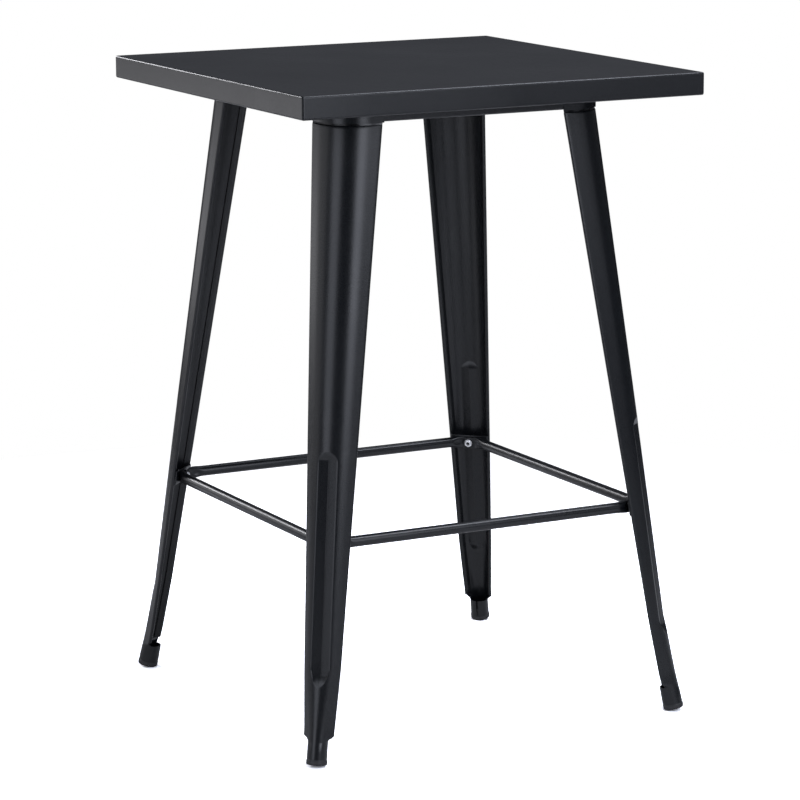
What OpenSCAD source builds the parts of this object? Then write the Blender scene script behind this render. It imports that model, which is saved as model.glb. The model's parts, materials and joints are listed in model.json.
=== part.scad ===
// Square metal table on four pressed sheet legs, with a lower ring of tube braces.
// Millimetres, +Z up. The origin is on the floor, under the centre of the top.

/* [Table top] */
// side of the square top
table_w = 600; // [500:5:900]
// height from the floor to the top face
table_h = 890; // [700:5:1100]
// depth of the skirt around the top
skirt_h = 31; // [24:0.5:50]
// sheet thickness of the top
top_sheet = 1.5; // [1:0.1:3]
// outside bend radius of the top edges
edge_r = 2.6; // [2:0.1:6]
// width of the lip folded in under the skirt
skirt_lip = 12; // [6:1:25]

/* [Under frame] */
// how far the sockets and rails reach below the top face
socket_drop = 52; // [46:0.5:80]
// how much higher than the sockets the rails end
rail_lift = 1; // [0:0.2:8]
// distance from the skirt to the outer face of the legs at their top
leg_inset = 93; // [60:1:140]
// sheet thickness of sockets and rails
frame_sheet = 1.5; // [1:0.1:3]
// flange width of the rails
rail_flange = 18; // [10:1:30]
// width of the bottom of a stiffener
stiff_w = 34; // [20:1:60]
// depth of a stiffener
stiff_h = 18; // [10:1:26]

/* [Legs] */
// sheet thickness of the legs
leg_sheet = 1.4; // [1:0.1:2.5]
// width of each leg panel at the top
panel_top = 70; // [58:0.5:90]
// width of each leg panel above the foot
panel_mid = 37.7; // [34:0.1:50]
// width of each leg panel where its hem ends
panel_low = 31.2; // [27:0.1:36]
// outside radius of the leg corner at the top
corner_top = 50.5; // [30:0.5:54]
// outside radius of the leg corner above the foot
corner_mid = 30.5; // [20:0.1:33]
// outside radius of the hem bend
hem_r = 2.4; // [2:0.1:4]
// width of the flat hem strip
hem_len = 8; // [5:0.5:14]
// outside diameter of the rolled foot tube
foot_d = 27.2; // [24:0.2:30]
// distance from the table centre to each foot, along X and along Y
foot_reach = 278; // [240:1:300]
// slope of the foot, along X and along Y
foot_slope = 0.16; // [0.08:0.005:0.2]

/* [Leg groove] */
// full width of the pressed groove
groove_w = 27.4; // [16:0.2:36]
// depth of the groove's V below the line between its edges
groove_vee = 2.8; // [1:0.1:4]
// height of the pointed lower end
groove_low = 104; // [95:1:150]
// height of the round upper end
groove_high = 413; // [330:1:600]

/* [Braces] */
// height of the brace centre lines
brace_z = 290; // [200:1:420]
// outside diameter of the brace tubes
brace_d = 15; // [12:0.5:20]
// wall of the brace tubes
brace_wall = 1.2; // [1:0.1:2]
// distance from the outer face of the legs to the brace centre lines
brace_in = 17; // [14:0.2:24]
// thickness of a flattened brace end
tab_t = 2.8; // [2:0.1:4]
// height of a flattened brace end
tab_h = 16.4; // [14:0.2:22]
// width of the bracket welded across each leg
bracket_w = 56; // [44:1:60]
// height of the bracket
bracket_h = 20; // [16:1:30]
// thickness of the bracket
bracket_t = 3; // [2:0.5:5]

/* [Feet] */
// outside diameter of the glide caps
glide_d = 28.4; // [26:0.2:34]
// height of the glide caps
glide_h = 7.4; // [5:0.2:14]

/* [Screws] */
// thread of the brace screws
brace_screw_d = 6; // [5:1:8]
// thread of the leg bolts
leg_bolt_d = 8; // [6:1:10]

/* [Hidden] */
$fn = 64;
s2 = sqrt(2);
half_w = table_w / 2;
skirt_z = table_h - skirt_h;
under_z = table_h - top_sheet;
socket_z = table_h - socket_drop;
rail_z = socket_z + rail_lift;
seam_gap = 2.6;
step_in = 4.5;
neck_h = 30;
socket_out = 1;

// The leg stands in a frame that starts at the corner where its outer faces would meet.
foot_r = foot_d / 2;
knee_z = 52;
mid_z = 130;
hem_z = 40;
roll_z = 33;
cut_z = 45;
leg_top_z = socket_z - seam_gap;
out_knee = foot_reach - foot_slope * knee_z + foot_r;
out_top = half_w - leg_inset;
function lin(z, za, a, zb, b) = a + (b - a) * (z - za) / (zb - za);
function foot_c(z) = foot_reach - foot_slope * z;
function out_at(z) = z < knee_z ? foot_c(z) + foot_r : lin(z, knee_z, out_knee, socket_z, out_top);
function panel_at(z) = z < mid_z
  ? lin(max(z, cut_z), cut_z, panel_low, mid_z, panel_mid)
  : lin(z, mid_z, panel_mid, socket_z, panel_top);
function corner_at(z) = z < mid_z
  ? lin(max(z, cut_z), cut_z, foot_r + 0.3, mid_z, corner_mid)
  : lin(z, mid_z, corner_mid, socket_z, corner_top);

// Groove pressed along the rounded corner: a shallow V with a round upper end and a pointed lower end.
groove_a = groove_w / 2;
tip_len = 19;
end_len = 9.7;
round_z = groove_high - groove_a;
function ease(k) = k * k * (3 - 2 * k);
function groove_edge(z) = z > round_z ? sqrt(max(0, pow(groove_a, 2) - pow(z - round_z, 2)))
  : groove_a * pow(min(1, max(0, z - groove_low) / tip_len), 0.75);
function groove_half(z) = min(groove_a, max(1.6, groove_edge(z)) + 0.3 * max(0, z - groove_high, groove_low - z));
function groove_depth(z) = groove_vee * min(1, (groove_high - z) / end_len, (z - groove_low) / tip_len);
function corner_y(x, z, r) = let (h = groove_edge(z)) abs(x) >= h || r <= groove_a ? sqrt(r * r - x * x)
  : sqrt(r * r - h * h) - groove_depth(z) * (1 - abs(x) / h);

// Columns of the leg sheet, from the free hem (0) to the middle of the corner (14), then mirrored.
mid_col = 14;
hem_gap = 0.3;
roll_start = 105;
share = [1, 0.74, 0.38, 0];
function diag(x, y, r) = [r - y / s2 + x / s2, r - y / s2 - x / s2];
function arc_angle(j, z) = let (s = asin(groove_half(z) / max(corner_at(z), groove_half(z) * 1.5)))
  j < 11 ? 45 - (45 - s) * (j - 8) / 3 : 0;
function arc_x(j, z, r) = j < 11 ? r * sin(arc_angle(j, z)) : share[j - 11] * r * sin(arc_angle(8 + 2.9999, z));
function channel(j, z, o) = let (r = corner_at(z), w = panel_at(z), b = w - hem_r)
  j == 0 ? [b - hem_len, 2 * leg_sheet + hem_gap - o]
  : j < 5 ? [b + (hem_r - o) * sin(45 * (j - 1)), hem_r + (hem_r - o) * cos(45 * (j - 1))]
  : j < 9 ? [b + (r - b) * (j - 5) / 3, o]
  : let (x = arc_x(j, z, r), y = corner_y(x, z, r), n = x / r) diag(x - o * n, y - o * sqrt(1 - n * n), r);
function roll_angle(j, z, gap) = j > 8 ? asin(arc_x(j, z, 1)) : j > 5 ? 45 + 20 * (8 - j)
  : roll_start + (180 - gap - roll_start) * (5 - j) / 5;
function rolled(j, z, o, gap) = let (a = roll_angle(j, z, gap)) [(foot_r - o) * sin(a), (foot_r - o) * cos(a)];

// Rows of the leg sheet: height, share of roll, half angle of the seam, share of tilt, step to the neck.
foot_end = 2.4 + glide_h;
rows = concat(
  [[foot_end, 1, 2.2, 1, 0], [16, 1, 2.2, 1, 0], [18, 1, 5.5, 1, 0], [roll_z, 1, 5.5, 0.25, 0]],
  [for (k = [1:4]) [roll_z + (hem_z - roll_z) * k / 4, 1 - ease(k / 4), 5.5, 0, 0]],
  [[cut_z + 3, 0, 0, 0, 0], [knee_z + 16, 0, 0, 0, 0], [groove_low - tip_len, 0, 0, 0, 0]],
  [for (k = [0.02, 0.12, 0.28, 0.5, 0.75, 1]) [groove_low + tip_len * k, 0, 0, 0, 0]],
  [for (k = [1, 0.8, 0.6, 0.4, 0.22, 0.08, 0]) [groove_high - end_len * k, 0, 0, 0, 0]],
  [[groove_high + 3 * groove_a, 0, 0, 0, 0], [leg_top_z, 0, 0, 0, 0]],
  [[leg_top_z + 0.4, 0, 0, 0, 1], [leg_top_z + neck_h, 0, 0, 0, 1]]
);
n_row = len(rows);
n_col = 2 * mid_col + 1;
function swap(p) = [p[1], p[0]];
function flat_at(j, q, o) = let (e = out_at(q[0]), c = channel(j, q[0], o), m = step_in * q[4])
  [c[0] - e + (j > 4 ? m * (1 - c[0] / panel_at(q[0])) : 0), c[1] - e + (j > 4 ? m : 0)];
function roll_at(j, q, o) = let (p = rolled(j, q[0], o, q[2]), z = q[0] + q[3] * foot_slope * s2 * p[1])
  [(p[0] - p[1]) / s2 - foot_c(z), -(p[0] + p[1]) / s2 - foot_c(z), z];
function ledge(j, q, o) = j > 4 && abs(q[0] - leg_top_z) < 1 ? o : 0;
function half_at(j, q, o) = let (k = q[1], f = flat_at(j, q, o), r = roll_at(j, q, o))
  [f[0] + (r[0] - f[0]) * k, f[1] + (r[1] - f[1]) * k, k == 1 ? r[2] : q[0] - ledge(j, q, o)];
function sheet_at(i, q, o) = i <= mid_col ? half_at(i, q, o)
  : let (p = half_at(2 * mid_col - i, q, o)) [p[1], p[0], p[2]];
leg_points = [for (o = [0, leg_sheet]) for (q = rows) for (i = [0:n_col - 1]) sheet_at(i, q, o)];
function is_hem(i) = i < 5 || i > n_col - 7;
function has(r, i) = r >= 0 && r < n_row - 1 && i >= 0 && i < n_col - 1
  && !(is_hem(i) && (rows[r][0] > leg_top_z - 0.1 || rows[r][0] > roll_z - 0.1 && rows[r][0] < hem_z - 0.1));
function vo(r, i) = r * n_col + i;
function vi(r, i) = (n_row + r) * n_col + i;
function quad(a, b, c, d) = [[a, b, c], [a, c, d]];
leg_faces = [for (r = [0:n_row - 2]) for (i = [0:n_col - 2]) if (has(r, i)) each concat(
  quad(vo(r, i), vo(r, i + 1), vo(r + 1, i + 1), vo(r + 1, i)),
  quad(vi(r + 1, i), vi(r + 1, i + 1), vi(r, i + 1), vi(r, i)),
  has(r - 1, i) ? [] : quad(vo(r, i + 1), vo(r, i), vi(r, i), vi(r, i + 1)),
  has(r + 1, i) ? [] : quad(vo(r + 1, i), vo(r + 1, i + 1), vi(r + 1, i + 1), vi(r + 1, i)),
  has(r, i - 1) ? [] : quad(vo(r, i), vo(r + 1, i), vi(r + 1, i), vi(r, i)),
  has(r, i + 1) ? [] : quad(vo(r + 1, i + 1), vo(r, i + 1), vi(r, i + 1), vi(r + 1, i + 1))
)];

// Mouth of the leg channel: distance of the hems from the table axis along the diagonal.
function mouth_at(z) = s2 * out_at(z) - panel_at(z) / s2 - hem_r * (1 - 1 / s2) - hem_r * 0.2929;
mouth = mouth_at(brace_z);
mouth_tilt = atan((mouth_at(brace_z - 40) - mouth_at(brace_z + 40)) / 80);
brace_line = out_at(brace_z) - brace_in;
tab_low = bracket_t;
tab_high = bracket_t + tab_t;
function tab_mid(level) = mouth - (level + tab_t / 2) / cos(mouth_tilt);
function bend_x(level) = s2 * tab_mid(level) - brace_line;
function bend_y(level) = (brace_line - bend_x(level)) / s2;
neck_len = 6.4;
flat_len = tab_h / 2 + 1;
screw_hole = brace_screw_d + 0.6;
bolt_hole = leg_bolt_d + 0.8;
foot_tilt = atan(foot_slope * s2);
glide_round = 2.4;
glide_base = (glide_round + (glide_d / 2 - glide_round) * sin(foot_tilt)) / cos(foot_tilt) - glide_round;
socket_face = out_top + socket_out;
socket_len = panel_top + socket_out + 1;
socket_r = corner_top + socket_out;
rail_face = socket_face - 0.8;
rail_half = socket_face - socket_len;
head_z = leg_top_z + neck_h - 3;
plate_z = leg_top_z + neck_h + 0.6;
plate_t = 3;
weld_edge = socket_face - out_at(head_z + plate_t) + step_in + leg_sheet + 0.1;
bolt_at = [[46, 19], [19, 46]];
stiff_x = 75;

// Corners are counted from the front left one, anticlockwise seen from above.
module corner(k) {
  rotate([0, 0, 90 * k]) children();
}

module ball_box(w, z0, z1, r) {
  h = w / 2 - r;
  for (a = [0, 90]) rotate([0, 0, a]) {
    translate([-w / 2, -h, z0 + r]) cube([w, 2 * h, z1 - z0 - 2 * r]);
    for (s = [-1, 1], z = [z0 + r, z1 - r]) translate([s * h, 0, z]) rotate([90, 0, 0])
      cylinder(h = 2 * h, r = r, center = true);
  }
  translate([-h, -h, z0]) cube([2 * h, 2 * h, z1 - z0]);
  for (x = [-h, h], y = [-h, h]) {
    translate([x, y, z0 + r]) cylinder(h = z1 - z0 - 2 * r, r = r);
    for (z = [z0 + r, z1 - r]) translate([x, y, z]) sphere(r = r);
  }
}

module table_top() {
  mouth_w = table_w - 2 * skirt_lip;
  color([0.12, 0.12, 0.13]) difference() {
    ball_box(table_w, skirt_z, table_h, edge_r);
    ball_box(table_w - 2 * top_sheet, skirt_z + top_sheet, under_z, edge_r - top_sheet);
    translate([-mouth_w / 2, -mouth_w / 2, skirt_z - 1]) cube([mouth_w, mouth_w, 5]);
  }
}

// Hat section under the top: two flanges against the sheet and a trough between them.
module stiffener(x) {
  t = frame_sheet;
  run = 2 * (rail_face - frame_sheet) - 1;
  color([0.12, 0.12, 0.13]) translate([x, run / 2, under_z]) rotate([90, 0, 0]) linear_extrude(run) {
    translate([-stiff_w / 2, -stiff_h]) square([stiff_w, t]);
    for (s = [-1, 1]) {
      translate([s * (stiff_w - t) / 2 - t / 2, -stiff_h]) square([t, stiff_h]);
      translate([s * (stiff_w / 2 + 5.5) - 6.5, -t]) square([13, t]);
    }
  }
}

module round_rect(w, h, r) {
  translate([r, 0]) square([w - 2 * r, h]);
  translate([0, r]) square([w, h - 2 * r]);
  for (x = [r, w - r], y = [r, h - r]) translate([x, y]) circle(r = r);
}

module rail(k) {
  t = frame_sheet;
  h = under_z - rail_z;
  color([0.12, 0.12, 0.13]) corner(k) difference() {
    translate([-rail_half, -rail_face, rail_z]) rotate([90, 0, 90]) linear_extrude(2 * rail_half)
      difference() {
        round_rect(2 * rail_flange, h, 3);
        translate([t, t]) round_rect(2 * rail_flange, h - 2 * t, 3 - t);
        translate([rail_flange, -1]) square([2 * rail_flange, h + 2]);
      }
    if (k % 2 == 0) for (x = [-stiff_x, stiff_x]) translate([x - stiff_w / 2 - 13, -rail_face + t, under_z - stiff_h - 1])
      cube([stiff_w + 26, rail_flange + 1, stiff_h + 2]);
  }
}

// Collar around the top of a leg, bent to the same rounded corner.
module socket(k) {
  t = frame_sheet;
  r = socket_r;
  h = under_z - socket_z;
  color([0.12, 0.12, 0.13]) corner(k) translate([-socket_face, -socket_face, socket_z]) {
    translate([r, 0, 0]) cube([socket_len - r, t, h]);
    translate([0, r, 0]) cube([t, socket_len - r, h]);
    intersection() {
      translate([r, r, 0]) difference() {
        cylinder(h = h, r = r);
        translate([0, 0, -1]) cylinder(h = h + 2, r = r - t);
      }
      cube([r, r, h]);
    }
  }
}

module fan_plate(edge, reach, nose, z, t, hole) {
  far = reach + nose;
  translate([-socket_face, -socket_face, z]) difference() {
    linear_extrude(t) polygon([[nose, edge], [reach, edge], [reach, edge + 7], [edge + 7, reach], [edge, reach],
      [edge, nose], [edge + (nose - edge) * 0.36, edge + (nose - edge) * 0.36]]);
    for (p = bolt_at) translate([p[0], p[1], -1]) cylinder(h = t + 2, d = hole);
  }
}

module socket_plate(k) {
  color([0.12, 0.12, 0.13]) corner(k)
    fan_plate(frame_sheet, socket_len - 2, socket_r - 2, plate_z, plate_t, bolt_hole);
}

module leg(k) {
  color([0.11, 0.11, 0.12]) corner(k) polyhedron(points = leg_points, faces = leg_faces, convexity = 8);
}

module leg_plate(k) {
  color([0.12, 0.12, 0.13]) corner(k)
    fan_plate(weld_edge, panel_top - 6, weld_edge + corner_top - 6, head_z, plate_t, bolt_hole);
}

module leg_bolt(p) {
  d = leg_bolt_d;
  translate([p[0] - socket_face, p[1] - socket_face, head_z]) difference() {
    union() {
      translate([0, 0, -4.4]) cylinder(h = 4.4, d1 = 1.1 * d, d2 = 1.75 * d);
      translate([0, 0, -0.01]) cylinder(h = 18, d = d);
    }
    translate([0, 0, -5]) cylinder(h = 3.2, d = 0.7 * d, $fn = 6);
  }
}

module leg_bolts() {
  color([0.62, 0.63, 0.65]) for (k = [0:3]) corner(k) for (p = bolt_at) leg_bolt(p);
}

module leg_nuts() {
  color([0.62, 0.63, 0.65]) for (k = [0:3]) corner(k) for (p = bolt_at)
    translate([p[0] - socket_face, p[1] - socket_face, plate_z + plate_t]) difference() {
      cylinder(h = 6.5, d = 15, $fn = 6);
      translate([0, 0, -1]) cylinder(h = 9, d = leg_bolt_d + 0.3);
    }
}

// Frame on the mouth of a leg: Z looks at the table centre and slightly down, X looks down.
module at_mouth() {
  translate([-mouth / s2, -mouth / s2, brace_z]) rotate([0, 0, 45]) rotate([0, 90 + mouth_tilt, 0]) children();
}

module bracket(k) {
  color([0.12, 0.12, 0.13]) corner(k) at_mouth() difference() {
    translate([-bracket_h / 2, -bracket_w / 2, 0]) cube([bracket_h, bracket_w, bracket_t]);
    translate([0, 0, -1]) cylinder(h = bracket_t + 2, d = screw_hole);
  }
}

module tab(level, side) {
  b = flat_len * side;
  at_mouth() translate([0, 0, level]) difference() {
    union() {
      translate([-tab_h / 2, min(0, b), 0]) cube([tab_h, abs(b), tab_t]);
      cylinder(h = tab_t, d = tab_h);
    }
    translate([0, 0, -1]) cylinder(h = tab_t + 2, d = screw_hole);
  }
}

// Loft from the round tube to a flattened end. The far end lies on the next corner's leg.
module squeeze(level, side, x) {
  hull() {
    rotate([0, 0, side > 0 ? 90 : 0]) at_mouth()
      translate([-tab_h / 2 + 0.2, flat_len * side - 0.5, level + 0.1]) cube([tab_h - 0.4, 1, tab_t - 0.2]);
    translate([x - side * 0.4, -brace_line, brace_z]) rotate([0, 90, 0])
      cylinder(h = 0.8, d = brace_d - 0.4, $fn = 36, center = true);
  }
}

// One brace: a tube with both ends flattened and bent against the brackets, one below and one on top.
module brace(k) {
  xa = -(bend_x(tab_low) - neck_len);
  xb = bend_x(tab_high) - neck_len;
  color([0.12, 0.12, 0.13]) corner(k) {
    difference() {
      translate([xa, -brace_line, brace_z]) rotate([0, 90, 0]) cylinder(h = xb - xa, d = brace_d);
      translate([xa + 3, -brace_line, brace_z]) rotate([0, 90, 0])
        cylinder(h = xb - xa - 6, d = brace_d - 2 * brace_wall);
    }
    squeeze(tab_low, -1, xa);
    squeeze(tab_high, 1, xb);
    tab(tab_low, -1);
    rotate([0, 0, 90]) tab(tab_high, 1);
  }
}

module brace_screws() {
  d = brace_screw_d;
  color([0.62, 0.63, 0.65]) for (k = [0:3]) corner(k) at_mouth() translate([0, 0, tab_high + tab_t]) difference() {
    union() {
      intersection() {
        cylinder(h = 0.6 * d, d = 1.9 * d);
        translate([0, 0, -1.15 * d]) sphere(d = 3.6 * d);
      }
      translate([0, 0, -16]) cylinder(h = 16.5, d = d);
    }
    translate([0, 0, 0.2 * d]) cylinder(h = d, d = 0.77 * d, $fn = 6);
  }
}

module brace_nuts() {
  color([0.62, 0.63, 0.65]) for (k = [0:3]) corner(k) at_mouth() translate([0, 0, -5.2]) difference() {
    cylinder(h = 5.2, d = 11.5, $fn = 6);
    translate([0, 0, -1]) cylinder(h = 8, d = brace_screw_d + 0.3);
  }
}

module glide(k) {
  r = glide_d / 2;
  g = glide_round;
  plug = foot_r - leg_sheet - 0.4;
  color([0.05, 0.05, 0.05]) corner(k) translate([-foot_reach, -foot_reach, 0]) rotate([0, foot_tilt, 45])
    translate([0, 0, glide_base]) rotate_extrude() polygon(concat(
      [[0, 0]],
      [for (a = [0:15:90]) [r - g + g * sin(a), g - g * cos(a)]],
      [[r, glide_h - 0.6], [r - 0.6, glide_h], [plug, glide_h], [plug, glide_h + 12], [plug - 2, glide_h + 13],
        [plug - 2.6, glide_h + 13], [plug - 2.6, glide_h - 3], [0, glide_h - 3]]));
}

table_top();
stiffener(-stiff_x);  // stiffener_left
stiffener(stiff_x);  // stiffener_right
rail(0);  // rail_front
rail(1);  // rail_right
rail(2);  // rail_back
rail(3);  // rail_left
socket(0);  // socket_front_left
socket(1);  // socket_front_right
socket(2);  // socket_back_right
socket(3);  // socket_back_left
socket_plate(0);  // socket_plate_front_left
socket_plate(1);  // socket_plate_front_right
socket_plate(2);  // socket_plate_back_right
socket_plate(3);  // socket_plate_back_left
leg(0);  // leg_front_left
leg(1);  // leg_front_right
leg(2);  // leg_back_right
leg(3);  // leg_back_left
leg_plate(0);  // leg_plate_front_left
leg_plate(1);  // leg_plate_front_right
leg_plate(2);  // leg_plate_back_right
leg_plate(3);  // leg_plate_back_left
leg_bolts();
leg_nuts();
brace(0);  // brace_front
brace(1);  // brace_right
brace(2);  // brace_back
brace(3);  // brace_left
bracket(0);  // bracket_front_left
bracket(1);  // bracket_front_right
bracket(2);  // bracket_back_right
bracket(3);  // bracket_back_left
brace_screws();
brace_nuts();
glide(0);  // glide_front_left
glide(1);  // glide_front_right
glide(2);  // glide_back_right
glide(3);  // glide_back_left
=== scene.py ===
import json
from collections import namedtuple
from math import asin, atan, copysign, cos, exp, hypot, pi, radians, sin, sqrt

import bmesh
import bpy
from mathutils import Matrix, Vector


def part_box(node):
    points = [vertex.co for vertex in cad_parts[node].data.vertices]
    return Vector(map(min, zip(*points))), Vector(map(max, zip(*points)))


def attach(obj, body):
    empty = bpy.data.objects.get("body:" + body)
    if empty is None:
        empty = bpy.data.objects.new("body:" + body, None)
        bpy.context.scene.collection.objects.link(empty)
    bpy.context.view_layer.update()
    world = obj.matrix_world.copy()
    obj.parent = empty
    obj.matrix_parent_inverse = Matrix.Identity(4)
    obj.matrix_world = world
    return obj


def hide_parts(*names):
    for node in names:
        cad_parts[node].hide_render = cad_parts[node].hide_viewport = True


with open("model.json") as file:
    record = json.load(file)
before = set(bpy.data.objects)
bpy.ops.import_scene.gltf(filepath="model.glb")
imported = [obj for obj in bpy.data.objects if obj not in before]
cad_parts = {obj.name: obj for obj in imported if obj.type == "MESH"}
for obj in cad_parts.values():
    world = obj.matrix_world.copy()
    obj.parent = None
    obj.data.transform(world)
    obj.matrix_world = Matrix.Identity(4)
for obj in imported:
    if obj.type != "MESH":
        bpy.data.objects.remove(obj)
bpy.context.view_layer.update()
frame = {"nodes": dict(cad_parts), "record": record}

# Lengths are in millimetres, apart from those of materials, lights, floor and camera, which are in metres.
MM = 0.001
ROOT2 = sqrt(2)
CORNERS = ("front_left", "front_right", "back_right", "back_left")
SIDES = ("front", "right", "back", "left")
QUARTER_TURNS = ((1, 0), (0, 1), (-1, 0), (0, -1))


def in_mm(length):
    """A length of the frame in millimetres, to the hundredth."""
    return round(length / MM, 2)


# The table top, a folded tray: its outside, then its edge radius, sheet, lip and the seam at its corners.
top_low, top_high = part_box("table_top")
TABLE_W, TABLE_H = in_mm(top_high.x - top_low.x), in_mm(top_high.z)
SKIRT_H = in_mm(top_high.z - top_low.z)
EDGE_R, TOP_SHEET, SKIRT_LIP, SEAM_DEPTH = 2.6, 1.5, 12, 1.5

# The tray's mesh: angles round a corner, step of the angle round an edge, least radius, run beside a bend.
CORNER_ANGLES, SEAM_ANGLE = (0, 12, 24, 34, 40, 45, 50, 56, 66, 78, 90), 45
EDGE_STEP, SHARPEST_R, FLAT_RUN = 15, 0.25, 0.6

# The rolled foot, a tube that leans outwards: its radius, how far out its axis meets the floor, its lean.
FOOT_R, FOOT_REACH, FOOT_SLOPE = 13.6, 278, 0.16

# Heights on a leg: end of the roll, start of the hems, narrowest panels, end of the lean, change of taper.
ROLL_Z, HEM_Z, CUT_Z, KNEE_Z, MID_Z = 33, 40, 45, 52, 130
# Kinks of the leg's outline are rounded over this height to either side.
BLEND_REACH = 7

# The seam under the sockets, and a leg's outer face, panel width and corner radius there and lower down.
SEAM_H, LEG_INSET, CORNER_GROWTH = 2.8, 93, 0.3
SOCKET_Z = in_mm(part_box("socket_front_left")[0].z)
LEG_TOP_Z, OUT_TOP = SOCKET_Z - SEAM_H, TABLE_W / 2 - LEG_INSET
PANEL_TOP, PANEL_MID, PANEL_LOW = 70, 37.7, 31.2
CORNER_TOP, CORNER_MID, CORNER_LOW = 50.5, 30.5, FOOT_R + CORNER_GROWTH
SHEET, HEM_R, HEM_LEN, HEM_GAP = 1.4, 2.4, 8, 0.3

# The neck above a leg's upper edge: its step inwards and height, and the shift and share of its free edges.
STEP_IN, NECK_H, NECK_EDGE, EDGE_SHARE = 6, 30, 1.9, 0.2

# The pressed groove: half width, lower and upper end, length of its point, and the point's sweep.
GROOVE_HALF, GROOVE_LOW, GROOVE_HIGH, TIP_LEN, TIP_SWEEP = 13.7, 106, 413, 22, 2.4
ROUND_Z, POINT_Z = GROOVE_HIGH - GROOVE_HALF, GROOVE_LOW + TIP_LEN

# Its depth, the length of the slopes at its ends with their least, and the rounding of its shoulders.
GROOVE_VEE, SLOPE_HIGH, SLOPE_LOW, SHORTEST_HIGH, SHORTEST_LOW = 2.9, 11, 14, 1.2, 2.5
SHOULDER, EDGE_CLEAR, SHALLOW_END, SOFT_START, SOFT_FULL = 1.7, 0.05, 0.45, 0.1, 0.05

# The strip of mesh along the groove: the power of its pointed end, and its widths.
TIP_POWER, NARROWEST, SPREAD, STRIP_LIMIT = 0.42, 1.6, 0.3, 1.5

# Places along half a leg's sheet, from its free edge to the middle of its corner, and the columns there.
BEND, PANEL, ARC, GROOVE, MIDDLE = 1, 5, 8, 11, 14
HALF_SHEET = [0, 0.5, BEND] + [BEND + 0.5 * n for n in range(1, 9)] + [5.6, 6.4, 7.2, ARC]
HALF_SHEET += [8.7, 9.4, 10, 10.4, 10.65, 10.8, 10.9, GROOVE]
HALF_SHEET += [GROOVE + 0.2 * n for n in range(1, 15)] + [13.87, 13.94, MIDDLE]

# Angles in the rolled foot, from the corner's middle: where the panel starts and ends, and the seam.
PANEL_START, PANEL_END, ROLL_END = 45, 105, 180

# A row across a leg: height, share of the roll, half the opening of the tube's seam in degrees, share of
# the cut square to the tube, and share of the neck's step.
Row = namedtuple("Row", "z roll gap tilt step", defaults=(0, 0, 0, 0))
SHUT, AJAR, OPEN = 2.2, 3.5, 5.5
FOOT_ROWS = [Row(9.8, 1, SHUT, 1), Row(16, 1, SHUT, 1), Row(17, 1, AJAR, 1), Row(18, 1, OPEN, 1)]
FOOT_ROWS += [Row(ROLL_Z, 1, OPEN, 0.25)]
UNROLL_ROWS = 8

# Distances between the rows above the foot, and the heights where they are fine and medium.
FINE, MEDIUM, COARSE, MEDIUM_TOP = 1, 3, 9, 160
FINE_BANDS = ((GROOVE_LOW - 8, POINT_Z + 6), (ROUND_Z - 8, GROOVE_HIGH + 4))

# Rows of the rim: height over the leg's upper edge, and share of the neck's step.
RIM = ((-1.1, 0), (-0.35, 0.04), (0, 0.13), (-0.1, 0.3), (-0.7, 1))
# Plain rows end this far below the rim, and the sheet's inside is lowered up to this far above the edge.
RIM_CLEAR, RIM_REACH = 0.1, 1

# The braces: height, tube, and distance of their line from a leg's outer face.
BRACE_Z, BRACE_R, BRACE_IN = 290, 7.5, 17
# Their flattened ends: thickness, height and length past the screw, and the angles round the tip.
TAB_T, TAB_H, TAB_LEN, TIP_ANGLES = 2.8, 16.4, 6.0, (10, 25, 40, 55, 70, 90)
# The bend between a flattened end and the tube: length, rings, swelling, and the pinch with its width.
BEND_LEN, BEND_ROWS, BEND_SWELL, BEND_DENT, DENT_WIDTH = 18, 24, 0.7, 0.38, 0.42

# Superellipse powers of a flat and of a round section, and the points of one.
FLAT, ROUND, RING_POINTS = 5, 2, 44

# The plates welded across the legs. Their rings lie at a share of the half width, and are cut in a little.
BRACKET_W, BRACKET_H, BRACKET_T = 56, 20, 3
BRACKET_RINGS = ((-1, 0.8), (-0.985, 0.2), (-0.96, 0), (0.96, 0), (0.985, 0.2), (1, 0.8))

# The weld beads: place on the plate, half length, radius and lean, then rings, points and lumps.
BEAD_DOWN, BEAD_ALONG, BEAD_LEVEL = 7.2, 27.2, 1.1
BEAD_HALF, BEAD_R, BEAD_LEAN, BEAD_TIP = 3.6, 1.9, 0.2, 0.02
BEAD_RINGS, BEAD_POINTS, LUMP_HEIGHT, LUMP_RATE = 12, 14, 0.13, 9

# The screws: radius and level over the tabs of the rings of the shank, the dome and the hexagon socket.
SHANK = ((3.05, -16), (3.05, 0))
DOME = ((5.4, 0), (5.7, 0.2), (5.7, 0.8), (5.45, 1.6), (4.95, 2.4), (4.2, 3.05), (3.45, 3.4), (3.1, 3.45))
HEX_SOCKET = ((2.95, 3.3), (2.85, -2))
SCREW_POINTS = 48


def between(z, za, a, zb, b):
    """The straight line through a at za and b at zb, at z."""
    return a + (b - a) * (z - za) / (zb - za)


def ease(k):
    """A smooth step from 0 to 1."""
    k = max(0.0, min(1.0, k))
    return k * k * (3 - 2 * k)


def eased_in(t, w):
    """Zero below -w, t above w, and a parabola between."""
    return 0 if t < -w else t if t > w else (t + w) ** 2 / (4 * w)


def softened(f, z):
    """The value of f at height z, with its kinks rounded."""
    return (f(z - BLEND_REACH) + 2 * f(z) + f(z + BLEND_REACH)) / 4


def foot_axis(z):
    """Distance of the rolled foot's axis from the table's middle planes."""
    return FOOT_REACH - FOOT_SLOPE * z


def out_raw(z):
    """Distance of a leg's outer faces from the table's middle planes."""
    if z < KNEE_Z:
        return foot_axis(z) + FOOT_R
    return between(z, KNEE_Z, foot_axis(KNEE_Z) + FOOT_R, SOCKET_Z, OUT_TOP)


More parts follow.
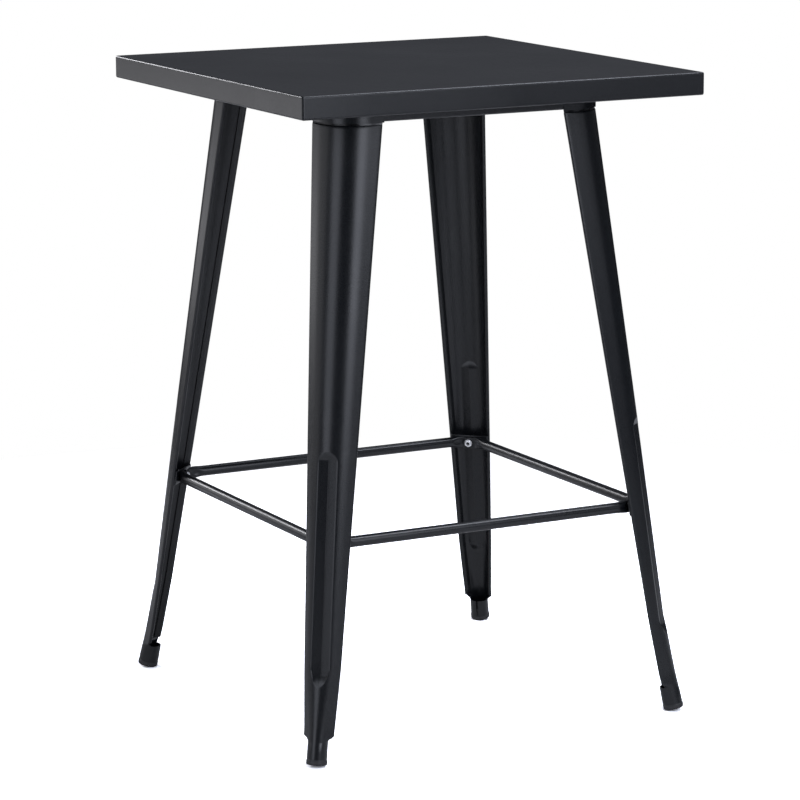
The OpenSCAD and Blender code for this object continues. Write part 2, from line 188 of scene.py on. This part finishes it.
def panel_raw(z):
    """Width of each of a leg's two faces, with its hem."""
    if z < MID_Z:
        return between(max(z, CUT_Z), CUT_Z, PANEL_LOW, MID_Z, PANEL_MID)
    return between(z, MID_Z, PANEL_MID, SOCKET_Z, PANEL_TOP)


def corner_raw(z):
    """Radius of a leg's rounded corner."""
    if z < MID_Z:
        return between(max(z, CUT_Z), CUT_Z, CORNER_LOW, MID_Z, CORNER_MID)
    return between(z, MID_Z, CORNER_MID, SOCKET_Z, CORNER_TOP)


def groove_edge(z):
    """Half width of the groove's outline: a round upper end and a pointed lower end."""
    if z > ROUND_Z:
        return sqrt(max(0, GROOVE_HALF**2 - (z - ROUND_Z) ** 2))
    return GROOVE_HALF * min(1, max(0, z - GROOVE_LOW) / TIP_LEN) ** TIP_POWER


def strip_half(z):
    """Half width of the strip of mesh along the groove, which widens again past the groove's ends."""
    past = max(0, z - GROOVE_HIGH, GROOVE_LOW - z)
    return min(GROOVE_HALF, max(NARROWEST, groove_edge(z)) + SPREAD * past)


def end_share(x, z):
    """Share of the full depth at a point near the groove's ends: 1 on the facets, 0 and less outside."""
    x = min(x, GROOVE_HALF - EDGE_CLEAR)
    rise = sqrt(GROOVE_HALF**2 - x * x) - GROOVE_HALF
    high = (GROOVE_HIGH + rise - z) / max(SHORTEST_HIGH, SLOPE_HIGH + rise)
    foot = TIP_LEN * (x / GROOVE_HALF) ** TIP_SWEEP
    low = (z - GROOVE_LOW - foot) / max(SHORTEST_LOW, SLOPE_LOW - foot)
    return min(high, low)


def corner_y(x, z, r):
    """Height of the leg's rounded corner over its arc centre, with the pressed V groove."""
    arc = sqrt(r * r - x * x)
    chord = sqrt(r * r - GROOVE_HALF**2)
    slope = (GROOVE_HALF + hypot(x, 1)) / (arc + chord) + GROOVE_VEE / GROOVE_HALF
    vee = eased_in(GROOVE_HALF - x, SHOULDER) * slope
    share = 1 - eased_in(1 - eased_in(end_share(x, z), SOFT_START), SOFT_FULL)
    return arc - vee * max(0, share) * (SHALLOW_END + (1 - SHALLOW_END) * share)


def corner_sine(j, z):
    """Sine of the angle between the corner's middle and place j of the corner."""
    strip = strip_half(z)
    s = asin(strip / max(softened(corner_raw, z), STRIP_LIMIT * strip))
    if j < GROOVE:
        return sin(pi / 4 - (pi / 4 - s) * (j - ARC) / (GROOVE - ARC))
    return sin(s) * cos((j - GROOVE) / (MIDDLE - GROOVE) * pi / 2)


def channel(j, z, o):
    """Leg section at height z, from the leg's outer corner: place j of the sheet, offset inwards by o."""
    r, b = softened(corner_raw, z), softened(panel_raw, z) - HEM_R
    if j < BEND:
        back = 1 - j
        return b - HEM_LEN * back, 2 * HEM_R - (2 * HEM_R - 2 * SHEET - HEM_GAP) * back - o
    if j < PANEL:
        a = pi * (j - BEND) / (PANEL - BEND)
        return b + (HEM_R - o) * sin(a), HEM_R + (HEM_R - o) * cos(a)
    if j < ARC:
        return b + (r - b) * (j - PANEL) / (ARC - PANEL), o
    n = corner_sine(j, z)
    x = n * r
    x, y = x - o * n, corner_y(x, z, r) - o * sqrt(1 - n * n)
    return r - y / ROOT2 + x / ROOT2, r - y / ROOT2 - x / ROOT2


def rolled(j, z, o, gap):
    """Place j of the sheet in the rolled foot, from the tube's axis, with half the seam's opening."""
    if j > ARC:
        a = asin(corner_sine(j, z))
    elif j > PANEL:
        a = radians(between(j, ARC, PANEL_START, PANEL, PANEL_END))
    else:
        a = radians(between(j, PANEL, PANEL_END, 0, ROLL_END - gap))
    return (FOOT_R - o) * sin(a), (FOOT_R - o) * cos(a)


def sheet_point(j, row, o):
    """A point of the half of the front left leg that faces -Y: place j, offset inwards by o."""
    z = row.z
    u, v = channel(j, z, o)
    if j >= PANEL and row.step > 0:
        m = STEP_IN * row.step * min(1, between(j, PANEL, EDGE_SHARE, ARC, 1))
        edge = NECK_EDGE * row.step if j == PANEL else 0
        u, v = u + m * (1 - u / softened(panel_raw, z)) + edge, v + m
    e = softened(out_raw, z)
    x, y = u - e, v - e
    if row.roll > 0:
        px, py = rolled(j, z, o, row.gap)
        c = foot_axis(z)
        x += ((px - py) / ROOT2 - c - x) * row.roll
        y += (-(px + py) / ROOT2 - c - y) * row.roll
        if row.roll == 1:
            z += row.tilt * FOOT_SLOPE * ROOT2 * py
    if row.step > 0 and z < LEG_TOP_Z + RIM_REACH:
        z -= o
    return x, y, z


def row_step(z):
    """Distance to the next row: fine round the groove's ends, medium low down, and coarse above."""
    if any(low < z < high for low, high in FINE_BANDS):
        return FINE
    return MEDIUM if z < MEDIUM_TOP else COARSE


def leg_rows():
    """The rows of a leg: the rolled foot, its opening, the channel, the rim and the neck."""
    rows = list(FOOT_ROWS)
    for n in range(1, UNROLL_ROWS + 1):
        share = n / UNROLL_ROWS
        rows.append(Row(ROLL_Z + (HEM_Z - ROLL_Z) * share, 1 - ease(share), OPEN))
    z = HEM_Z + row_step(HEM_Z)
    while z < LEG_TOP_Z + RIM[0][0] - RIM_CLEAR:
        rows.append(Row(z))
        z += row_step(z)
    rows += [Row(LEG_TOP_Z + dz, step=step) for dz, step in RIM]
    return rows + [Row(LEG_TOP_Z + NECK_H, step=1)]


def leg_mesh():
    """The front left leg: a grid of points on both sides of its sheet, closed along every free edge."""
    columns = [(j, False) for j in HALF_SHEET] + [(j, True) for j in reversed(HALF_SHEET[:-1])]
    rows = leg_rows()
    n_row, n_col, hem_cells = len(rows), len(columns), HALF_SHEET.index(PANEL)
    points = []
    for o in (0, SHEET):
        for row in rows:
            for j, mirrored in columns:
                x, y, z = sheet_point(j, row, o)
                points.append((y, x, z) if mirrored else (x, y, z))

    def has(r, i):
        """Whether there is sheet between row r and the next, and column i and the next."""
        if not (0 <= r < n_row - 1 and 0 <= i < n_col - 1):
            return False
        hem = i < hem_cells or i >= n_col - 1 - hem_cells
        notch = ROLL_Z <= rows[r].z < HEM_Z
        return not (hem and (notch or rows[r + 1].step > 0))

    def at(side, r, i):
        """Number of the point in row r and column i, on the outside (0) or the inside (1)."""
        return (side * n_row + r) * n_col + i

    faces = []
    for r in range(n_row - 1):
        for i in range(n_col - 1):
            if not has(r, i):
                continue
            a, b, c, d = at(0, r, i), at(0, r, i + 1), at(0, r + 1, i + 1), at(0, r + 1, i)
            e, f, g, h = at(1, r, i), at(1, r, i + 1), at(1, r + 1, i + 1), at(1, r + 1, i)
            faces += [(d, c, b, a), (e, f, g, h)]
            if not has(r - 1, i):
                faces.append((a, b, f, e))
            if not has(r + 1, i):
                faces.append((c, d, h, g))
            if not has(r, i - 1):
                faces.append((d, a, e, h))
            if not has(r, i + 1):
                faces.append((b, c, g, f))
    return points, faces


def mouth_at(z):
    """Distance along the diagonal from the table's axis to the plane over a leg's two hems."""
    return ROOT2 * out_raw(z) - (panel_raw(z) + 2 * (ROOT2 - 1) * HEM_R) / ROOT2


# The mouth of the front left leg: its place at the braces' height, and the directions along and off it.
TILT_REACH = 40
MOUTH = mouth_at(BRACE_Z)
MOUTH_TILT = atan((mouth_at(BRACE_Z - TILT_REACH) - mouth_at(BRACE_Z + TILT_REACH)) / (2 * TILT_REACH))
MOUTH_AT = Vector((-MOUTH / ROOT2, -MOUTH / ROOT2, BRACE_Z))
DOWN = Vector((-sin(MOUTH_TILT) / ROOT2, -sin(MOUTH_TILT) / ROOT2, -cos(MOUTH_TILT)))
ALONG = Vector((-1 / ROOT2, 1 / ROOT2, 0))
INWARD = Vector((cos(MOUTH_TILT) / ROOT2, cos(MOUTH_TILT) / ROOT2, -sin(MOUTH_TILT)))
BRACE_LINE = out_raw(BRACE_Z) - BRACE_IN


def at_mouth(down, along, level):
    """A point given on the mouth of the front left leg."""
    return MOUTH_AT + DOWN * down + ALONG * along + INWARD * level


def turned(points, k):
    """The points after k quarter turns round the table's axis."""
    c, s = QUARTER_TURNS[k]
    return [(c * x - s * y, s * x + c * y, z) for x, y, z in points]


def turned_shape(shape, k):
    """A shape, which is points and faces, after k quarter turns round the table's axis."""
    points, faces = shape
    return turned(points, k), faces


def joined(shapes):
    """Several shapes as one."""
    points, faces = [], []
    for more_points, more_faces in shapes:
        faces += [tuple(i + len(points) for i in face) for face in more_faces]
        points += more_points
    return points, faces


def loft(rings):
    """A closed shape through rings of as many points each."""
    n = len(rings[0])
    points = [tuple(p) for r in rings for p in r]
    faces = [tuple(range(n)), tuple(range(len(points) - n, len(points)))]
    for r in range(len(rings) - 1):
        for i in range(n):
            j = (i + 1) % n
            faces.append((r * n + i, r * n + j, (r + 1) * n + j, (r + 1) * n + i))
    return points, faces


def ring(centre, tall, thick, power, dent=0, count=RING_POINTS):
    """A superellipse on two half axes, pinched in the middle of its broad sides by the share dent."""
    points = []
    for n in range(count):
        a = 2 * pi * n / count
        h = copysign(abs(cos(a)) ** (2 / power), cos(a))
        t = copysign(abs(sin(a)) ** (2 / power), sin(a)) * (1 - dent * exp(-((h / DENT_WIDTH) ** 2)))
        points.append(centre + tall * h + thick * t)
    return points


def brace_end(level, side):
    """Rings from the rounded tip of a flattened tube end, round its bend, to the full tube."""
    mid, half_h, half_t = level + TAB_T / 2, TAB_H / 2, TAB_T / 2
    rings = []
    for a in TIP_ANGLES:
        centre = at_mouth(0, -side * half_h * cos(radians(a)), mid)
        rings.append(ring(centre, DOWN * (half_h * sin(radians(a))), INWARD * half_t, FLAT))
    knee_x = ROOT2 * (MOUTH - mid / cos(MOUTH_TILT)) - BRACE_LINE
    start = at_mouth(0, side * TAB_LEN, mid)
    knee = at_mouth(0, side * (BRACE_LINE - knee_x) / ROOT2, mid)
    knee.z = BRACE_Z
    stop = knee + Vector((1, 0, 0) if side < 0 else (0, 1, 0)) * BEND_LEN
    for n in range(BEND_ROWS + 1):
        u = n / BEND_ROWS
        centre = start * (1 - u) ** 2 + knee * (2 * u * (1 - u)) + stop * u * u
        course = ((knee - start) * (1 - u) + (stop - knee) * u).normalized()
        tall = (DOWN * (1 - u) + Vector((0, 0, -1)) * u).normalized()
        tall = (tall - course * tall.dot(course)).normalized()
        thick = tall.cross(course).normalized() * -side
        k, arch = ease(u), sin(pi * u)
        tall *= between(k, 0, half_h, 1, BRACE_R) + BEND_SWELL * arch
        thick *= between(k, 0, half_t, 1, BRACE_R)
        rings.append(ring(centre, tall, thick, between(k, 0, FLAT, 1, ROUND), BEND_DENT * arch))
    return rings


def matched(points, like):
    """The ring, with its points in the order that lies nearest to another ring's."""
    middle, other = sum(points, Vector()) / len(points), sum(like, Vector()) / len(like)
    quarter = RING_POINTS // 4

    def miss(order):
        return sum(((p - middle) - (q - other)).length for p, q in zip(order[::quarter], like[::quarter]))

    orders = [way[n:] + way[:n] for way in (points, points[::-1]) for n in range(len(points))]
    return min(orders, key=miss)


def brace_mesh():
    """The front brace: its left end lies on the plate, and its right end on the next brace's end."""
    near = brace_end(BRACKET_T, -1)
    far = [[Vector(p) for p in turned(r, 1)] for r in brace_end(BRACKET_T + TAB_T, 1)]
    return loft(near + [matched(r, near[-1]) for r in reversed(far)])


def bracket_mesh():
    """The plate welded across the front left leg."""
    rings = []
    for along, cut in BRACKET_RINGS:
        centre = at_mouth(0, along * BRACKET_W / 2, BRACKET_T / 2)
        rings.append(ring(centre, DOWN * (BRACKET_H / 2 - cut), INWARD * (BRACKET_T / 2 - cut), FLAT))
    return loft(rings)


def bead(down, along):
    """A short weld bead, lumpy as the drops froze."""
    rings = []
    for n in range(BEAD_RINGS + 1):
        t = -1 + 2 * n / BEAD_RINGS
        r = BEAD_R * (sqrt(max(BEAD_TIP, 1 - t * t)) * (1 + LUMP_HEIGHT * sin(LUMP_RATE * t + along)))
        centre = at_mouth(down + BEAD_HALF * t, along + BEAD_LEAN * t, BEAD_LEVEL)
        rings.append(ring(centre, ALONG * r, INWARD * r, ROUND, count=BEAD_POINTS))
    return loft(rings)


def bead_mesh():
    """The four beads of the front left leg's plate."""
    places = [(down, along) for down in (-BEAD_DOWN, BEAD_DOWN) for along in (-BEAD_ALONG, BEAD_ALONG)]
    return joined(bead(down, along) for down, along in places)


def screw_mesh():
    """Domed screws with a hexagon socket, one on each leg."""
    rings = []
    for profile, sided in ((SHANK + DOME, False), (HEX_SOCKET, True)):
        for radius, level in profile:
            points = []
            for n in range(SCREW_POINTS):
                a = 2 * pi * n / SCREW_POINTS
                r = radius * (cos(pi / 6) / cos(a % (pi / 3) - pi / 6) if sided else 1)
                points.append(at_mouth(r * cos(a), r * sin(a), BRACKET_T + 2 * TAB_T + level))
            rings.append(points)
    screw = loft(rings)
    return joined(turned_shape(screw, k) for k in range(4))


def tray_profile():
    """Inset and height along the tray's section, from its top face round the skirt to its inside."""
    low, inner_low = TABLE_H - SKIRT_H, TABLE_H - SKIRT_H + TOP_SHEET
    angles = [radians(a) for a in range(0, 91, EDGE_STEP)]
    profile = [(EDGE_R + FLAT_RUN, TABLE_H)]
    profile += [(EDGE_R * (1 - cos(a)), TABLE_H - EDGE_R + EDGE_R * sin(a)) for a in reversed(angles)]
    profile += [(0, TABLE_H - EDGE_R - FLAT_RUN), (0, low + EDGE_R + FLAT_RUN)]
    profile += [(EDGE_R * (1 - cos(a)), low + EDGE_R - EDGE_R * sin(a)) for a in angles]
    profile += [(SKIRT_LIP, low), (SKIRT_LIP, inner_low), (TOP_SHEET, inner_low)]
    return profile + [(TOP_SHEET, TABLE_H - TOP_SHEET)]


def tray_mesh():
    """The folded tray, with rounded edges and a fine seam down each corner."""
    rings = []
    for inset, z in tray_profile():
        r = max(SHARPEST_R, EDGE_R - inset)
        c = TABLE_W / 2 - inset - r
        quarter = [(c + r, c - FLAT_RUN, z)]
        for a in CORNER_ANGLES:
            d = r - (SEAM_DEPTH * r / EDGE_R if a == SEAM_ANGLE else 0)
            quarter.append((c + d * cos(radians(a)), c + d * sin(radians(a)), z))
        quarter.append((c - FLAT_RUN, c + r, z))
        rings.append([p for k in range(4) for p in turned(quarter, k)])
    return loft(rings)


def make_mesh(name, points, faces, sharp):
    """A smooth mesh in metres, sharp where its faces meet at more than the given angle in degrees."""
    mesh = bpy.data.meshes.new(name)
    mesh.from_pydata([tuple(c * MM for c in p) for p in points], [], faces)
    shape = bmesh.new()
    shape.from_mesh(mesh)
    bmesh.ops.delete(shape, geom=[v for v in shape.verts if not v.link_faces], context="VERTS")
    bmesh.ops.recalc_face_normals(shape, faces=shape.faces)
    shape.to_mesh(mesh)
    shape.free()
    mesh.polygons.foreach_set("use_smooth", [True] * len(mesh.polygons))
    mesh.set_sharp_from_angle(angle=radians(sharp))
    mesh.update()
    return mesh


def piece(name, shape, slot, stands_for=(), sharp=38):
    """Adds a shape as a piece of the table, in place of the CAD nodes that it stands for."""
    obj = bpy.data.objects.new(name, make_mesh(name, *shape, sharp))
    bpy.context.scene.collection.objects.link(obj)
    obj.data.materials.append(MATERIALS[slot])
    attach(obj, "root")
    if stands_for:
        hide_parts(*stands_for)


def set_inputs(tree, node, inputs):
    """Gives a node's inputs their values, and links those that come as a socket."""
    for name, value in dict(inputs).items():
        if isinstance(value, bpy.types.NodeSocket):
            tree.links.new(value, node.inputs[name])
        else:
            node.inputs[name].default_value = value


def add_node(tree, kind, inputs=(), **settings):
    """A new shader node, with its settings and then its inputs."""
    node = tree.nodes.new("ShaderNode" + kind)
    for name, value in settings.items():
        setattr(node, name, value)
    set_inputs(tree, node, inputs)
    return node


def new_material(name):
    """A new material, its node tree and its shader."""
    mat = bpy.data.materials.new(name)
    mat.use_nodes = True
    return mat, mat.node_tree, mat.node_tree.nodes["Principled BSDF"]


def noise(tree, coords, scale, detail):
    """Noise over the object's own coordinates."""
    inputs = {"Vector": coords.outputs["Object"], "Scale": scale, "Detail": detail}
    return add_node(tree, "TexNoise", inputs).outputs["Fac"]


def ranged(tree, source, low, high, start=0.3, stop=0.7):
    """The source's stretch from start to stop, spread from low to high."""
    inputs = {"Value": source, "From Min": start, "From Max": stop, "To Min": low, "To Max": high}
    return add_node(tree, "MapRange", inputs).outputs["Result"]


def bumped(tree, height, strength, distance, under=None):
    """The surface's normal with a bump, laid over the bump under it if there is one."""
    inputs = {"Height": height, "Strength": strength, "Distance": distance}
    if under:
        inputs["Normal"] = under
    return add_node(tree, "Bump", inputs).outputs["Normal"]


def powder_coat():
    """Satin black powder coat: orange peel, a fine grain, pale specks and slow changes of gloss."""
    mat, tree, shader = new_material("powder_coat")
    coords = add_node(tree, "TexCoord")
    peel = noise(tree, coords, scale=420, detail=1.5)
    grain = noise(tree, coords, scale=1900, detail=1)
    slow = noise(tree, coords, scale=7, detail=3)
    specks = noise(tree, coords, scale=2600, detail=0)
    black, speck = (0.0040, 0.0048, 0.0062, 1), (0.0085, 0.0098, 0.0118, 1)
    share = ranged(tree, specks, low=0, high=1, start=0.55, stop=0.8)
    shade = add_node(tree, "Mix", {"Factor": share, "A": black, "B": speck}, data_type="RGBA")
    patches = ranged(tree, slow, low=-0.025, high=0.035)
    satin = ranged(tree, grain, low=0.25, high=0.34)
    gloss = add_node(tree, "Math", {0: patches, 1: satin}, operation="ADD")
    waves = bumped(tree, slow, strength=0.35, distance=0.0011)
    skin = bumped(tree, peel, strength=0.35, distance=0.00012, under=waves)
    finish = bumped(tree, grain, strength=0.30, distance=0.00005, under=skin)
    set_inputs(tree, shader, {"Base Color": shade.outputs["Result"], "Roughness": gloss.outputs["Value"]})
    set_inputs(tree, shader, {"Normal": finish, "IOR": 1.5})
    return mat


def fine_surface(name, base, scale, dullness, strength, distance, metallic=0):
    """A material of one colour, whose roughness and bump follow one fine noise."""
    mat, tree, shader = new_material(name)
    fine = noise(tree, add_node(tree, "TexCoord"), scale, detail=3)
    set_inputs(tree, shader, {"Base Color": base, "Metallic": metallic})
    set_inputs(tree, shader, {"Roughness": ranged(tree, fine, *dullness)})
    set_inputs(tree, shader, {"Normal": bumped(tree, fine, strength, distance)})
    return mat


def zinc():
    """Bright zinc plate of the screws and nuts."""
    base, dullness = (0.97, 0.97, 0.97, 1), (0.28, 0.42)
    return fine_surface("zinc", base, 1400, dullness, strength=0.2, distance=0.00008, metallic=0.35)


def glide_plastic():
    """Matt black plastic of the foot caps."""
    base, dullness = (0.022, 0.022, 0.023, 1), (0.42, 0.6)
    return fine_surface("glide", base, 900, dullness, strength=0.3, distance=0.0001)


MATERIALS = {"powder_coat": powder_coat(), "zinc": zinc(), "glide": glide_plastic()}
SLOT_OF = {part["node"]: part["material_slot"] for part in frame["record"]["subparts"]}
for node_name, obj in frame["nodes"].items():
    if not obj.material_slots:
        obj.data.materials.append(None)
    for place in obj.material_slots:
        place.material = MATERIALS[SLOT_OF[node_name]]

leg, brace, bracket, beads = leg_mesh(), brace_mesh(), bracket_mesh(), bead_mesh()
for k, corner in enumerate(CORNERS):
    piece("pressed_leg_" + corner, turned_shape(leg, k), "powder_coat", ["leg_" + corner], sharp=42)
piece("folded_tray", tray_mesh(), "powder_coat", ["table_top"], sharp=32)
piece("button_screws", screw_mesh(), "zinc", ["brace_screws"], sharp=32)
for k, (side, corner) in enumerate(zip(SIDES, CORNERS)):
    piece("bent_tube_" + side, turned_shape(brace, k), "powder_coat", ["brace_" + side])
    piece("welded_plate_" + corner, turned_shape(bracket, k), "powder_coat", ["bracket_" + corner])
    piece("weld_beads_" + corner, turned_shape(beads, k), "powder_coat")


def around(angle, distance, height):
    """A place round the table: angle 0 is in front (-Y), 90 is to the left (-X)."""
    a = radians(angle)
    return (-sin(a) * distance, -cos(a) * distance, height)


# The softboxes: name, place, aim, width and height, power in watts, and tint.
COOL, PLAIN = (0.935, 0.975, 1.10), (0.97, 0.97, 1.015)
SOFTBOXES = (
    ("softbox_front", (0.375, -2.35, 1.51), (0.375, 0, 1.06), (1.65, 1.58), 15.6, COOL),
    ("softbox_front_core", (0.07, -2.25, 1.45), (0.07, 0, 1.0), (0.85, 1.75), 8.0, COOL),
    ("front_mid", (0.08, -2.32, 0.56), (0.08, 0, 0.51), (1.06, 0.28), 2.0, COOL),
    ("front_low", (0.2, -2.3, 0.24), (0.2, 0, 0.24), (1.25, 0.4), 0.35, COOL),
    ("front_right", (2.0, -2.3, 1.07), (1.2, 0, 0.92), (1.4, 1.16), 2.7, COOL),
    ("softbox_left", around(67, 2.2, 1.1), (0, 0, 0.5), (1.0, 2.2), 12.1, COOL),
    ("fill_left", around(98, 2.6, 1.1), (0, 0, 0.6), (2.4, 2.2), 2.2, COOL),
    ("wall_back_left", around(131, 2.4, 1.25), (0, 0, 0.9), (3.1, 2.2), 12.8, PLAIN),
    ("strip_left", around(146, 2.0, 0.52), (0, 0, 0.52), (1.3, 0.28), 0.8, PLAIN),
    ("rim_back", around(160, 2.6, 1.6), (0, 0, 0.9), (0.5, 0.8), 15.5, PLAIN),
    ("softbox_above", (0.9, 0.1, 3.1), (0, 0, 0.8), (2.6, 2.8), 30, COOL),
    ("kicker_right", (1.25, -0.95, 3.0), (0, -0.3, 0.9), (0.8, 0.8), 22, COOL),
)

# The surround's strength grows towards the rear, from the first cosine of the angle to it to the second.
REAR, REAR_START, REAR_STOP = (0.454, 0.891, 0), -0.5, 0.8
SURROUND_LOW, SURROUND_HIGH = 0.03, 0.115
WHITE = (1, 1, 1, 1)

# The floor: half its width, and where it fades to plain white for view rays, with its colour before that.
FLOOR_HALF, FADE_START, FADE_STOP = 30, 0.75, 1.7
VIEW_PALE = (3.4, 3.4, 3.4, 1)
# For all other rays, a painted pool of light round the table: distance from the table's axis, and how pale
# the floor is painted there.
FLOOR_LIGHT_POOL = ((0, 0.8), (0.6, 0.8), (1.12, 0.95), (1.84, 0.9), (2.48, 0.2), (4, 0.2))

# The camera, fitted to the photo. Angles are in radians, and the focal length is in the photo's pixels.
CAMERA_AT = Vector((-2.2020, -4.1894, 1.3743))
YAW, PITCH, ROLL, FOCAL_PX = 0.4829, 0.1994, -0.0039, 3443.2
PHOTO_PX, SENSOR_MM, CLIP_END = 800, 36, 200


def add_softbox(name, where, aim, size, power, tint):
    """Adds an area light that faces its aim."""
    data = bpy.data.lights.new(name, "AREA")
    data.shape = "RECTANGLE"
    data.size, data.size_y = size
    data.energy = power
    data.color = tint
    obj = bpy.data.objects.new(name, data)
    obj.location = where
    obj.rotation_mode = "QUATERNION"
    obj.rotation_quaternion = (Vector(aim) - Vector(where)).to_track_quat("-Z", "Y")
    bpy.context.scene.collection.objects.link(obj)


def add_surround():
    """Adds the world: white for view rays, and dim for all others."""
    world = bpy.data.worlds.new("studio")
    bpy.context.scene.world = world
    world.use_nodes = True
    tree = world.node_tree
    tree.nodes.clear()
    seen = add_node(tree, "LightPath").outputs["Is Camera Ray"]
    course = add_node(tree, "TexCoord").outputs["Generated"]
    rear = add_node(tree, "VectorMath", {0: course, 1: REAR}, operation="DOT_PRODUCT").outputs["Value"]
    strength = ranged(tree, rear, SURROUND_LOW, SURROUND_HIGH, REAR_START, REAR_STOP)
    dim = add_node(tree, "Background", {"Color": (*COOL, 1), "Strength": strength})
    white = add_node(tree, "Background", {"Color": WHITE})
    inputs = {"Fac": seen, 1: dim.outputs["Background"], 2: white.outputs["Background"]}
    mixed = add_node(tree, "MixShader", inputs)
    add_node(tree, "OutputWorld", {"Surface": mixed.outputs["Shader"]})


def pale_floor():
    """Pale floor: near the table view rays see it with its shadow, and further out plain white. Other rays
    see a painted pool of light round the table, which darkens further out.
    """
    mat = bpy.data.materials.new("pale_floor")
    mat.use_nodes = True
    tree = mat.node_tree
    tree.nodes.clear()
    seen = add_node(tree, "LightPath").outputs["Is Camera Ray"]
    place = add_node(tree, "TexCoord").outputs["Object"]
    reach = add_node(tree, "VectorMath", {0: place}, operation="LENGTH").outputs["Value"]
    last = FLOOR_LIGHT_POOL[-1][0]
    # The floor's brightness for other rays: a pool of light painted round the table, dark further out.
    light_pool = add_node(tree, "ValToRGB", {"Fac": ranged(tree, reach, 0, 1, 0, last)})
    stops = light_pool.color_ramp.elements
    for distance, level in FLOOR_LIGHT_POOL[1:-1]:
        stops.new(distance / last)
    for stop, (distance, level) in zip(stops, FLOOR_LIGHT_POOL):
        stop.color = (level, level, level, 1)
    inputs = {"Factor": seen, "A": light_pool.outputs["Color"], "B": VIEW_PALE}
    colour = add_node(tree, "Mix", inputs, data_type="RGBA").outputs["Result"]
    far = ranged(tree, reach, 0, 1, FADE_START, FADE_STOP)
    share = add_node(tree, "Math", {0: far, 1: seen}, operation="MULTIPLY").outputs["Value"]
    diffuse = add_node(tree, "BsdfDiffuse", {"Color": colour}).outputs["BSDF"]
    glow = add_node(tree, "Emission").outputs["Emission"]
    mixed = add_node(tree, "MixShader", {"Fac": share, 1: diffuse, 2: glow})
    add_node(tree, "OutputMaterial", {"Surface": mixed.outputs["Shader"]})
    return mat


def add_floor():
    """Adds the studio floor, which isn't part of the table."""
    mesh = bpy.data.meshes.new("studio_floor")
    corners = [(x * FLOOR_HALF, y * FLOOR_HALF, 0) for x, y in ((-1, -1), (1, -1), (1, 1), (-1, 1))]
    mesh.from_pydata(corners, [], [(0, 1, 2, 3)])
    mesh.materials.append(pale_floor())
    studio_floor = bpy.data.objects.new("studio_floor", mesh)
    bpy.context.scene.collection.objects.link(studio_floor)


def add_camera():
    """Adds the camera at the photo's viewing angle."""
    look = Vector((sin(YAW) * cos(PITCH), cos(YAW) * cos(PITCH), -sin(PITCH)))
    right = Vector((cos(YAW), -sin(YAW), 0))
    up = right.cross(look)
    right, up = right * cos(ROLL) + up * sin(ROLL), up * cos(ROLL) - right * sin(ROLL)
    data = bpy.data.cameras.new("camera")
    data.sensor_width = SENSOR_MM
    data.lens = FOCAL_PX / PHOTO_PX * SENSOR_MM
    data.clip_end = CLIP_END
    camera = bpy.data.objects.new("camera", data)
    camera.matrix_world = Matrix.Translation(CAMERA_AT) @ Matrix((right, up, -look)).transposed().to_4x4()
    bpy.context.scene.collection.objects.link(camera)
    bpy.context.scene.camera = camera


for softbox in SOFTBOXES:
    add_softbox(*softbox)
add_surround()
add_floor()
add_camera()
bpy.context.scene.view_settings.view_transform = "Standard"
